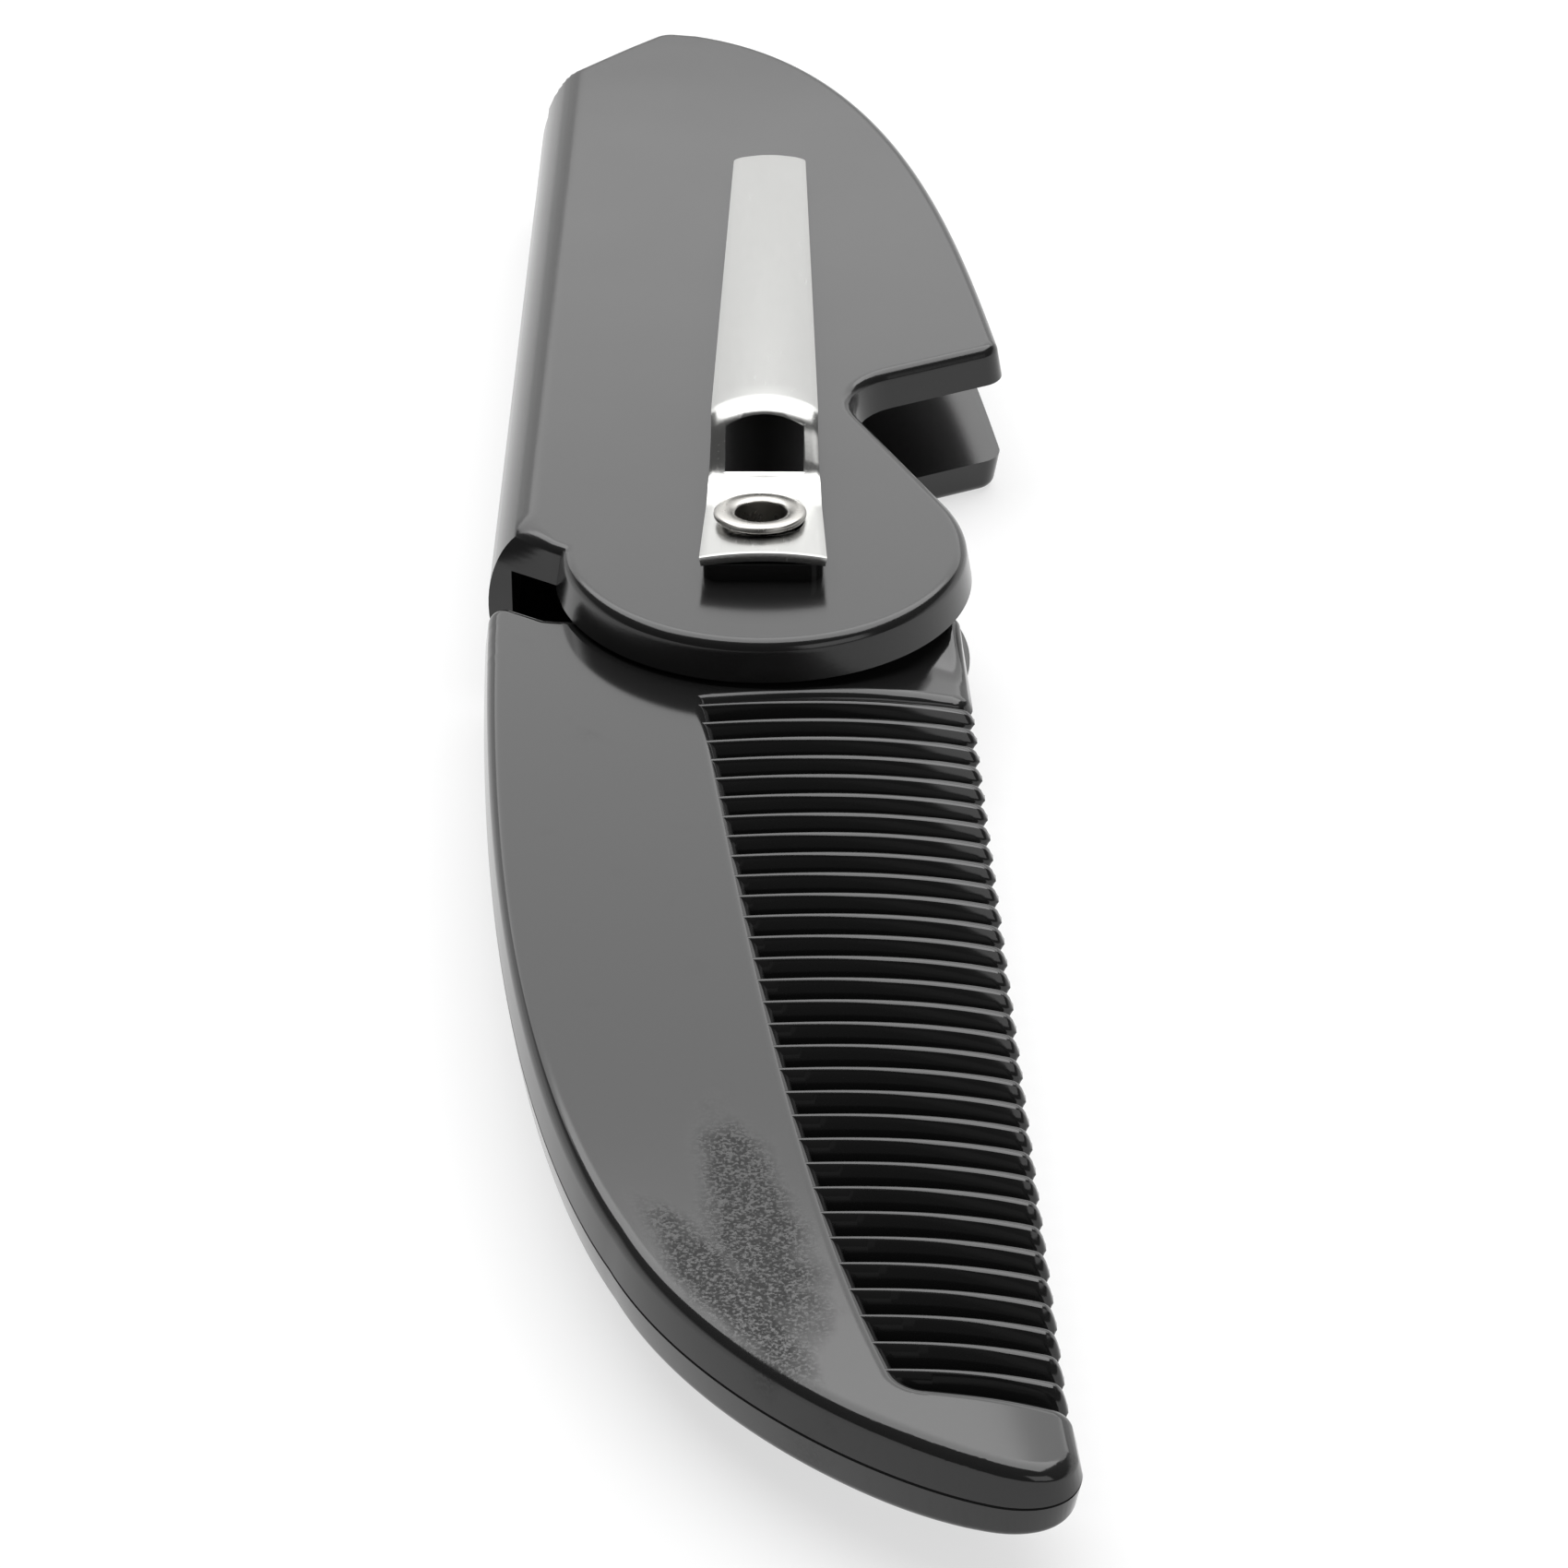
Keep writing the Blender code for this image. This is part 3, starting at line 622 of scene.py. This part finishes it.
def teeth_tree(material):
    """A tree that sweeps a square along each line, then bends it into a tooth's two flanks.

    The square reaches from -1 to 1, so its points are shares of the tooth's half sizes.
    """
    tree = bpy.data.node_groups.new("comb_teeth", 'GeometryNodeTree')
    tree.interface.new_socket("Tooth lines", in_out='INPUT', socket_type='NodeSocketGeometry')
    for name in TOOTH_SIZES:
        tree.interface.new_socket(name, in_out='INPUT', socket_type='NodeSocketFloat')
    tree.interface.new_socket("Teeth", in_out='OUTPUT', socket_type='NodeSocketGeometry')
    sizes = add(tree, 'NodeGroupInput').outputs
    lines = add(tree, 'GeometryNodeMeshToCurve', {"Mesh": sizes["Tooth lines"]})
    fine = add(tree, 'GeometryNodeResampleCurve', {"Curve": lines, "Count": TOOTH_RINGS})
    swept = add(tree, 'GeometryNodeSetCurveNormal', {"Curve": fine}, mode='Z_UP')
    spot = add(tree, 'GeometryNodeInputPosition')
    shrunk, tall = tooth_heights(tree, sizes)
    whole = add(tree, 'GeometryNodeSplineLength').outputs["Length"]
    factor = add(tree, 'GeometryNodeSplineParameter')
    widening = maths(tree, 'MULTIPLY_ADD', factor, CREST_WIDENING, CREST_AT_ROOT)
    even = maths(tree, 'MULTIPLY_ADD', whole, sizes["Crest per length"], sizes["Crest width"])
    crest = maths(tree, 'MULTIPLY', even, widening)
    kinds = {"line": 'FLOAT_VECTOR', "shrunk": 'FLOAT', "tall": 'FLOAT', "crest": 'FLOAT'}
    for name, value in zip(kinds, (spot, shrunk, tall, crest)):
        swept = add(tree, 'GeometryNodeStoreNamedAttribute', {
            "Geometry": swept, "Name": name, "Value": value}, data_type=kinds[name], domain='POINT')
    square = add(tree, 'GeometryNodeCurvePrimitiveQuadrilateral', {"Width": 2.0, "Height": 2.0})
    ring = add(tree, 'GeometryNodeResampleCurve', {"Curve": square, "Count": TOOTH_RING_POINTS})
    tubes = add(tree, 'GeometryNodeCurveToMesh', {
        "Curve": swept, "Profile Curve": ring, "Fill Caps": True})
    line, shrunk, tall, crest = [
        add(tree, 'GeometryNodeInputNamedAttribute', {"Name": name}, data_type=kind)
        for name, kind in kinds.items()]
    offset = add(tree, 'ShaderNodeVectorMath', {0: spot, 1: line}, operation='SUBTRACT')
    unit = add(tree, 'ShaderNodeSeparateXYZ', {0: offset}).outputs
    above = maths(tree, 'MULTIPLY', unit["Z"], unit["Z"])
    belly = maths(tree, 'SUBTRACT', 1.0, above)
    spare = maths(tree, 'SUBTRACT', sizes["Middle width"], crest)
    width = maths(tree, 'MULTIPLY_ADD', belly, spare, crest)
    blunt = maths(tree, 'POWER', shrunk, NOSE_WIDTH_BEND)
    narrowed = maths(tree, 'MULTIPLY', width, blunt)
    half = maths(tree, 'MULTIPLY', narrowed, 0.5)
    across = maths(tree, 'MULTIPLY', unit["Y"], half)
    bowed = maths(tree, 'MULTIPLY', unit["Y"], unit["Y"])
    dropped = maths(tree, 'MULTIPLY', bowed, sizes["Crest rounding"])
    lowered = maths(tree, 'SUBTRACT', 1.0, dropped)
    rounded_height = maths(tree, 'MULTIPLY', tall, lowered)
    up = maths(tree, 'MULTIPLY', unit["Z"], rounded_height)
    bent = add(tree, 'ShaderNodeCombineXYZ', {"X": 0.0, "Y": across, "Z": up})
    spread_out = add(tree, 'ShaderNodeVectorMath', {0: line, 1: bent}, operation='ADD')
    teeth = add(tree, 'GeometryNodeSetPosition', {"Geometry": tubes, "Position": spread_out})
    plain = add(tree, 'GeometryNodeRealizeInstances', {"Geometry": teeth})
    named = add(tree, 'GeometryNodeSetMaterial', {"Geometry": plain, "Material": material})
    add(tree, 'NodeGroupOutput', {"Teeth": named})
    return tree


def make_teeth(material):
    """All the teeth: one line for each from inside the back to its tip, then the sweep."""
    bm = bmesh.new()
    for i in range(TOOTH_COUNT):
        y = FIRST_TOOTH_Y - i * TOOTH_PITCH
        slope = TOOTH_SLOPES[0] + (TOOTH_SLOPES[1] - TOOTH_SLOPES[0]) * i / (TOOTH_COUNT - 1)
        reach = tip_x(y) - root_x(y)
        ends = [(root_x(y) - TOOTH_BURIED, y - slope * TOOTH_BURIED), (tip_x(y), y + slope * reach)]
        bm.edges.new([bm.verts.new((x, y, MIDDLE)) for x, y in ends])
    mesh = bpy.data.meshes.new("comb_teeth")
    bm.to_mesh(mesh)
    bm.free()
    teeth = bpy.data.objects.new("comb_teeth", mesh)
    bpy.context.scene.collection.objects.link(teeth)
    sweep = teeth.modifiers.new("comb_teeth", 'NODES')
    sweep.node_group = teeth_tree(material)
    for item in sweep.node_group.interface.items_tree:
        if item.name in TOOTH_SIZES:
            sweep[item.identifier] = TOOTH_SIZES[item.name]
    settle(teeth)
    teeth.data.transform(Matrix.Translation(place(0.0, 0.0, 0.0)) @ Matrix.Scale(MM, 4))
    return teeth


# Eyelet

def make_eyelet():
    """The hollow rivet: a thin tube with a rolled lip on the clip and a foot underneath."""
    lip = HANDLE_THICKNESS + LIP_TOP - LIP_THICKNESS
    foot = FOOT_ABOVE_FLOOR + FOOT_THICKNESS
    first, last = LIP_ANGLES
    bm = bmesh.new()
    rings = []
    for i in range(ROUND_SIDES):
        turn = 2 * math.pi * i / ROUND_SIDES
        hole = EYELET_HOLE_RADIUS - HOLE_UNEVEN * math.cos(turn - math.radians(HOLE_UNEVEN_ANGLE))
        turned = [(FOOT_RADIUS, foot), (EYELET_RADIUS, foot), (EYELET_RADIUS, lip)]
        for step in range(LIP_STEPS + 1):
            angle = math.radians(first + (last - first) * step / LIP_STEPS)
            across, up = math.cos(angle), math.sin(angle)
            flat = math.copysign(abs(up) ** LIP_FLATNESS, up)
            turned.append(((LIP_RADIUS + hole) / 2 + (LIP_RADIUS - hole) / 2 * across,
                           lip + LIP_THICKNESS / 2 * (1 + flat)))
        turned += [(EYELET_HOLE_RADIUS, FOOT_ABOVE_FLOOR), (FOOT_RADIUS, FOOT_ABOVE_FLOOR)]
        ring = []
        for radius, z in turned:
            x, y = radius * math.cos(turn), radius * math.sin(turn)
            if z >= lip:
                x, z = x + LIP_SHIFT, z - LIP_SLOPE * y
            ring.append(bm.verts.new(place(x, y, z)))
        rings.append(ring)
    for ring, following in zip(rings, rings[1:] + rings[:1]):
        for j in range(len(ring)):
            k = (j + 1) % len(ring)
            bm.faces.new((ring[j], ring[k], following[k], following[j]))
    eyelet = mesh_object("eyelet", bm)
    settle(eyelet)
    return eyelet


# Pocket clip

def along(table, y):
    """A value from a short table of (y, value), on straight lines between its rows."""
    for (y0, value0), (y1, value1) in zip(table, table[1:]):
        if y <= y1:
            share = max(y - y0, 0.0) / (y1 - y0)
            return value0 + (value1 - value0) * share
    return table[-1][1]


def clip_path():
    """The clip's side view, from the plate's front edge to the strip's rounded end."""
    path = rounded(CLIP_PATH, closed=False)
    plate_front, plate_back = Vector(path[0]), Vector(path[1])
    strip_start, strip_end = Vector(path[-2]), Vector(path[-1])
    corner = (strip_start - strip_end).normalized() * CLIP_CORNER
    flat = [tuple(plate_front.lerp(plate_back, i / CLIP_STATIONS)) for i in range(CLIP_STATIONS)]
    strip = [tuple(strip_start.lerp(strip_end + corner, i / CLIP_STATIONS))
             for i in range(1, CLIP_STATIONS)]
    turns = [math.pi / 2 * i / CLIP_CORNER_STEPS for i in range(CLIP_CORNER_STEPS + 1)]
    end = [tuple(strip_end + corner * (1 - math.sin(turn))) for turn in turns]
    return flat + path[1:-1] + strip + end


def clip_sheet():
    """The clip as a crowned sheet along its bent path, before it gets its thickness."""
    path = clip_path()
    end_y = path[-1][0]
    bm = bmesh.new()
    rows = []
    for y, z in path:
        width = along(CLIP_WIDTHS, y)
        left = max(end_y - y, 0.0)
        if left < CLIP_CORNER:
            width -= 2 * (CLIP_CORNER - math.sqrt(CLIP_CORNER ** 2 - (CLIP_CORNER - left) ** 2))
        crown = along(CLIP_CROWNS, y)
        row = []
        for column in range(CLIP_COLUMNS + 1):
            across = 2 * column / CLIP_COLUMNS - 1
            height = HANDLE_THICKNESS + z - crown * across ** 2
            row.append(bm.verts.new(place(across * width / 2, y, height)))
        rows.append(row)
    for lower, upper in zip(rows, rows[1:]):
        for i in range(CLIP_COLUMNS):
            bm.faces.new((lower[i], lower[i + 1], upper[i + 1], upper[i]))
    return mesh_object("pocket_clip", bm)


def window_tool():
    """The arched window in the riser, square to the riser's slope."""
    foot, head = Vector(CLIP_PATH[1][:2]), Vector(CLIP_PATH[2][:2])
    up = (head - foot).normalized()
    out = Vector((up.y, -up.x))
    half = WINDOW_WIDTH / 2
    outline = [(-half, 0.0), (half, 0.0)]
    for i in range(WINDOW_PIECES + 1):
        across = 1 - 2 * i / WINDOW_PIECES
        outline.append((half * across, WINDOW_SIDE + WINDOW_ARCH * (1 - across ** 2)))
    rings = []
    for reach in (-WINDOW_REACH, WINDOW_REACH):
        ring = []
        for x, rise in outline:
            at = foot + up * (WINDOW_START + rise) + out * reach
            ring.append(place(x, at.x, HANDLE_THICKNESS + at.y))
        rings.append(ring)
    bm = bmesh.new()
    loft(bm, rings)
    return mesh_object("window_tool", bm)


def make_clip():
    """The pocket clip: plate, riser with its window, and the long sprung strip."""
    clip = clip_sheet()
    solidify = clip.modifiers.new("steel", 'SOLIDIFY')
    solidify.thickness = STEEL * MM
    solidify.offset = 0.0
    top = HANDLE_THICKNESS + TOOL_ABOVE
    bore = round_tool("clip_bore_tool", BORE_RADIUS, HANDLE_THICKNESS, top)
    combine(clip, [('DIFFERENCE', window_tool()), ('DIFFERENCE', bore)])
    bevel = clip.modifiers.new("edges", 'BEVEL')
    bevel.width = CLIP_EDGE * MM
    bevel.segments = CLIP_EDGE_STEPS
    bevel.limit_method = 'ANGLE'
    bevel.angle_limit = math.radians(CLIP_EDGE_ABOVE)
    settle(clip)
    return clip


# Materials

def srgb(code):
    """A colour written as an sRGB hex value, as linear RGBA."""
    channels = [int(code[i:i + 2], 16) / 255 for i in (1, 3, 5)]
    return (*[c / 12.92 if c <= 0.04045 else ((c + 0.055) / 1.055) ** 2.4 for c in channels], 1.0)


def started(name):
    """A new material with its tree, its shader and the object's own coordinates."""
    material = bpy.data.materials.new(name)
    material.use_nodes = True
    tree = material.node_tree
    coords = add(tree, 'ShaderNodeTexCoord').outputs["Object"]
    return material, tree, tree.nodes["Principled BSDF"], coords


def noise(tree, coords, size, detail):
    """A noise pattern whose features are of a size in millimetres."""
    return add(tree, 'ShaderNodeTexNoise', {
        "Vector": coords, "Scale": 1 / (size * MM), "Detail": detail})


def spread(tree, value, low, high):
    """Turn a 0 to 1 pattern into a range of values."""
    return add(tree, 'ShaderNodeMapRange', {"Value": value, "To Min": low, "To Max": high})


def risen(tree, value, edges):
    """A pattern that rises from 0 to 1 between two values of another pattern."""
    return add(tree, 'ShaderNodeMapRange', {
        "Value": value, "From Min": edges[0], "From Max": edges[1]})


def relief(tree, height, depth, below=None):
    """Bump from a 0 to 1 pattern of a depth in millimetres, over the bump below it."""
    inputs = {"Height": height, "Distance": depth * MM}
    if below is not None:
        inputs["Normal"] = below
    return add(tree, 'ShaderNodeBump', inputs)



def handle_plastic():
    """Glossy moulded ABS, carbon black: a fine grain and a slight waviness soften its gloss."""
    material, tree, shader, coords = started("moulded_black_abs")
    shader.inputs["Base Color"].default_value = srgb("#1a1a1a")
    shader.inputs["IOR"].default_value = 1.5
    wave = noise(tree, coords, size=9.0, detail=1.0)
    grain = noise(tree, coords, size=0.22, detail=2.0)
    rough = spread(tree, wave, low=0.15, high=0.19)
    fine = relief(tree, grain, depth=0.0015, below=relief(tree, wave, depth=0.02))
    tree.links.new(rough.outputs[0], shader.inputs["Roughness"])
    tree.links.new(fine.outputs[0], shader.inputs["Normal"])
    return material


def comb_plastic():
    """Polished moulded plastic, carbon black: mirror-like, with two matt scuffs near the tip.

    The scuffs' speckle is drawn coarser than the real one, so that it shows.
    """
    material, tree, shader, coords = started("polished_black_plastic")
    shader.inputs["Base Color"].default_value = srgb("#1d1d1d")
    shader.inputs["IOR"].default_value = 1.5
    wave = noise(tree, coords, size=11.0, detail=1.0)
    speckle = noise(tree, coords, size=0.13, detail=2.0)
    ragged = noise(tree, coords, size=2.5, detail=3.0)
    scuffed = 0.0
    for x, y, half_length, half_width, turn in SCUFFS:
        local = add(tree, 'ShaderNodeMapping', {
            "Vector": coords, "Location": place(x, y, MIDDLE),
            "Rotation": (0.0, 0.0, math.radians(turn)),
            "Scale": (half_length * MM, half_width * MM, 1.0)}, vector_type='TEXTURE')
        fading = add(tree, 'ShaderNodeTexGradient', {"Vector": local}, gradient_type='SPHERICAL')
        scuffed = maths(tree, 'MAXIMUM', fading.outputs["Fac"], scuffed)
    uneven = maths(tree, 'MULTIPLY_ADD', ragged, SCUFF_RAGGEDNESS, -SCUFF_RAGGEDNESS / 2)
    patch = risen(tree, maths(tree, 'ADD', scuffed, uneven), SCUFF_EDGE)
    marks = maths(tree, 'MULTIPLY', risen(tree, speckle, SCUFF_GRAINS), patch)
    rough = spread(tree, marks, low=0.11, high=0.4)
    gloss = spread(tree, marks, low=0.5, high=0.12)
    pitted = relief(tree, marks, depth=0.003, below=relief(tree, wave, depth=0.02))
    tree.links.new(rough.outputs[0], shader.inputs["Roughness"])
    tree.links.new(gloss.outputs[0], shader.inputs["Specular IOR Level"])
    tree.links.new(pitted.outputs[0], shader.inputs["Normal"])
    return material


def clip_steel():
    """Bright rolled stainless strip: a satin gloss with faint lines along the strip."""
    material, tree, shader, coords = started("rolled_stainless_steel")
    shader.inputs["Base Color"].default_value = srgb("#bcbcba")
    shader.inputs["Metallic"].default_value = 1.0
    stretched = add(tree, 'ShaderNodeMapping', {"Vector": coords, "Scale": (1.0, 0.03, 1.0)})
    lines = noise(tree, stretched, size=0.12, detail=2.0)
    rough = spread(tree, lines, low=0.2, high=0.3)
    drawn = relief(tree, lines, depth=0.001)
    tree.links.new(rough.outputs[0], shader.inputs["Roughness"])
    tree.links.new(drawn.outputs[0], shader.inputs["Normal"])
    return material


def eyelet_nickel():
    """Nickel-plated brass eyelet: bright, a little softer and faintly dented in random patches all
    over.
    """
    material, tree, shader, coords = started("nickel_plated_brass")
    shader.inputs["Base Color"].default_value = srgb("#a8a6a2")
    shader.inputs["Metallic"].default_value = 1.0
    marks = noise(tree, coords, size=0.5, detail=3.0)
    rough = spread(tree, marks, low=0.22, high=0.36)
    dented = relief(tree, marks, depth=0.0015)
    tree.links.new(rough.outputs[0], shader.inputs["Roughness"])
    tree.links.new(dented.outputs[0], shader.inputs["Normal"])
    return material


def floor_board():
    """Opal acrylic sheet, matt and lit from below: it keeps shadows faint, as in the photo."""
    material, _, shader, _ = started("opal_acrylic_sheet")
    shader.inputs["Base Color"].default_value = srgb("#909090")
    shader.inputs["Roughness"].default_value = 0.9
    shader.inputs["Specular IOR Level"].default_value = 0.1
    shader.inputs["Emission Color"].default_value = srgb("#ffffff")
    shader.inputs["Emission Strength"].default_value = 0.66
    return material


# Camera, floor and lights

def make_camera():
    """The camera at the photograph's angle, with its lens."""
    data = bpy.data.cameras.new("camera")
    data.sensor_width = SENSOR_MM
    data.lens = FOCAL_PIXELS / IMAGE_PIXELS * SENSOR_MM
    data.clip_start = VIEW_NEAR
    camera = bpy.data.objects.new("camera", data)
    x, y, z = CAMERA_PLACE
    camera.location = place(x, y, z + HANDLE_THICKNESS)
    camera.rotation_euler = (math.radians(90.0 - CAMERA_PITCH), 0.0, math.radians(CAMERA_HEADING))
    bpy.context.scene.collection.objects.link(camera)
    bpy.context.scene.camera = camera


def make_floor():
    """A plain pale floor, far larger than the view."""
    sides = ((-1, -1), (1, -1), (1, 1), (-1, 1))
    bm = bmesh.new()
    bm.faces.new([bm.verts.new((sx * FLOOR_HALF, sy * FLOOR_HALF, 0.0)) for sx, sy in sides])
    floor = mesh_object("floor", bm)
    floor.data.materials.append(floor_board())


def softbox(name, elevation, azimuth, distance, width, height, radiance):
    """A rectangular light that faces the comb; azimuth 0 is behind it, 90 is on its left.

    Its distance, width and height are in metres, and its angles in degrees.
    """
    data = bpy.data.lights.new(name, 'AREA')
    data.shape = 'RECTANGLE'
    data.size = width
    data.size_y = height
    data.energy = radiance * math.pi * width * height
    light = bpy.data.objects.new(name, data)
    rise, turn = math.radians(elevation), math.radians(azimuth)
    level = math.cos(rise)
    towards = Vector((-math.sin(turn) * level, math.cos(turn) * level, math.sin(rise)))
    light.location = towards * distance
    light.rotation_mode = 'QUATERNION'
    light.rotation_quaternion = towards.to_track_quat('Z', 'Y')
    light.visible_camera = False
    bpy.context.scene.collection.objects.link(light)


def make_world():
    """Pale low behind the comb, dark above and in front: only the softboxes light the faces."""
    world = bpy.data.worlds.new("studio")
    bpy.context.scene.world = world
    world.use_nodes = True
    tree = world.node_tree
    shader = tree.nodes["Background"]
    shader.inputs["Color"].default_value = srgb("#ffffff")
    direction = add(tree, 'ShaderNodeTexCoord').outputs["Generated"]
    height = add(tree, 'ShaderNodeVectorMath', {0: direction, 1: WORLD_TILT},
                 operation='DOT_PRODUCT')
    fade = add(tree, 'ShaderNodeMapRange', {
        "Value": height.outputs["Value"], "From Max": WORLD_FADE,
        "To Min": WORLD_PALE, "To Max": WORLD_DARK})
    tree.links.new(fade.outputs[0], shader.inputs["Strength"])


# The scene

make_camera()
make_floor()
make_world()
softbox("back_softbox", elevation=31.0, azimuth=0.0, distance=1.0,
        width=1.6, height=0.34, radiance=1.95)
softbox("top_softbox", elevation=68.0, azimuth=0.0, distance=0.9,
        width=1.3, height=0.94, radiance=4.0)
softbox("front_softbox", elevation=27.0, azimuth=-140.0, distance=1.0,
        width=0.62, height=0.5, radiance=1.3)
bpy.context.scene.view_settings.view_transform = 'Standard'

abs_black = handle_plastic()
comb_black = comb_plastic()
dress(make_handle(), "handle", abs_black, "handle")
dress(make_comb_back(), "comb", comb_black, "comb")
dress(make_teeth(comb_black), "comb", comb_black)
dress(make_clip(), "handle", clip_steel(), "clip")
dress(make_eyelet(), "handle", eyelet_nickel(), "pivot_rivet")
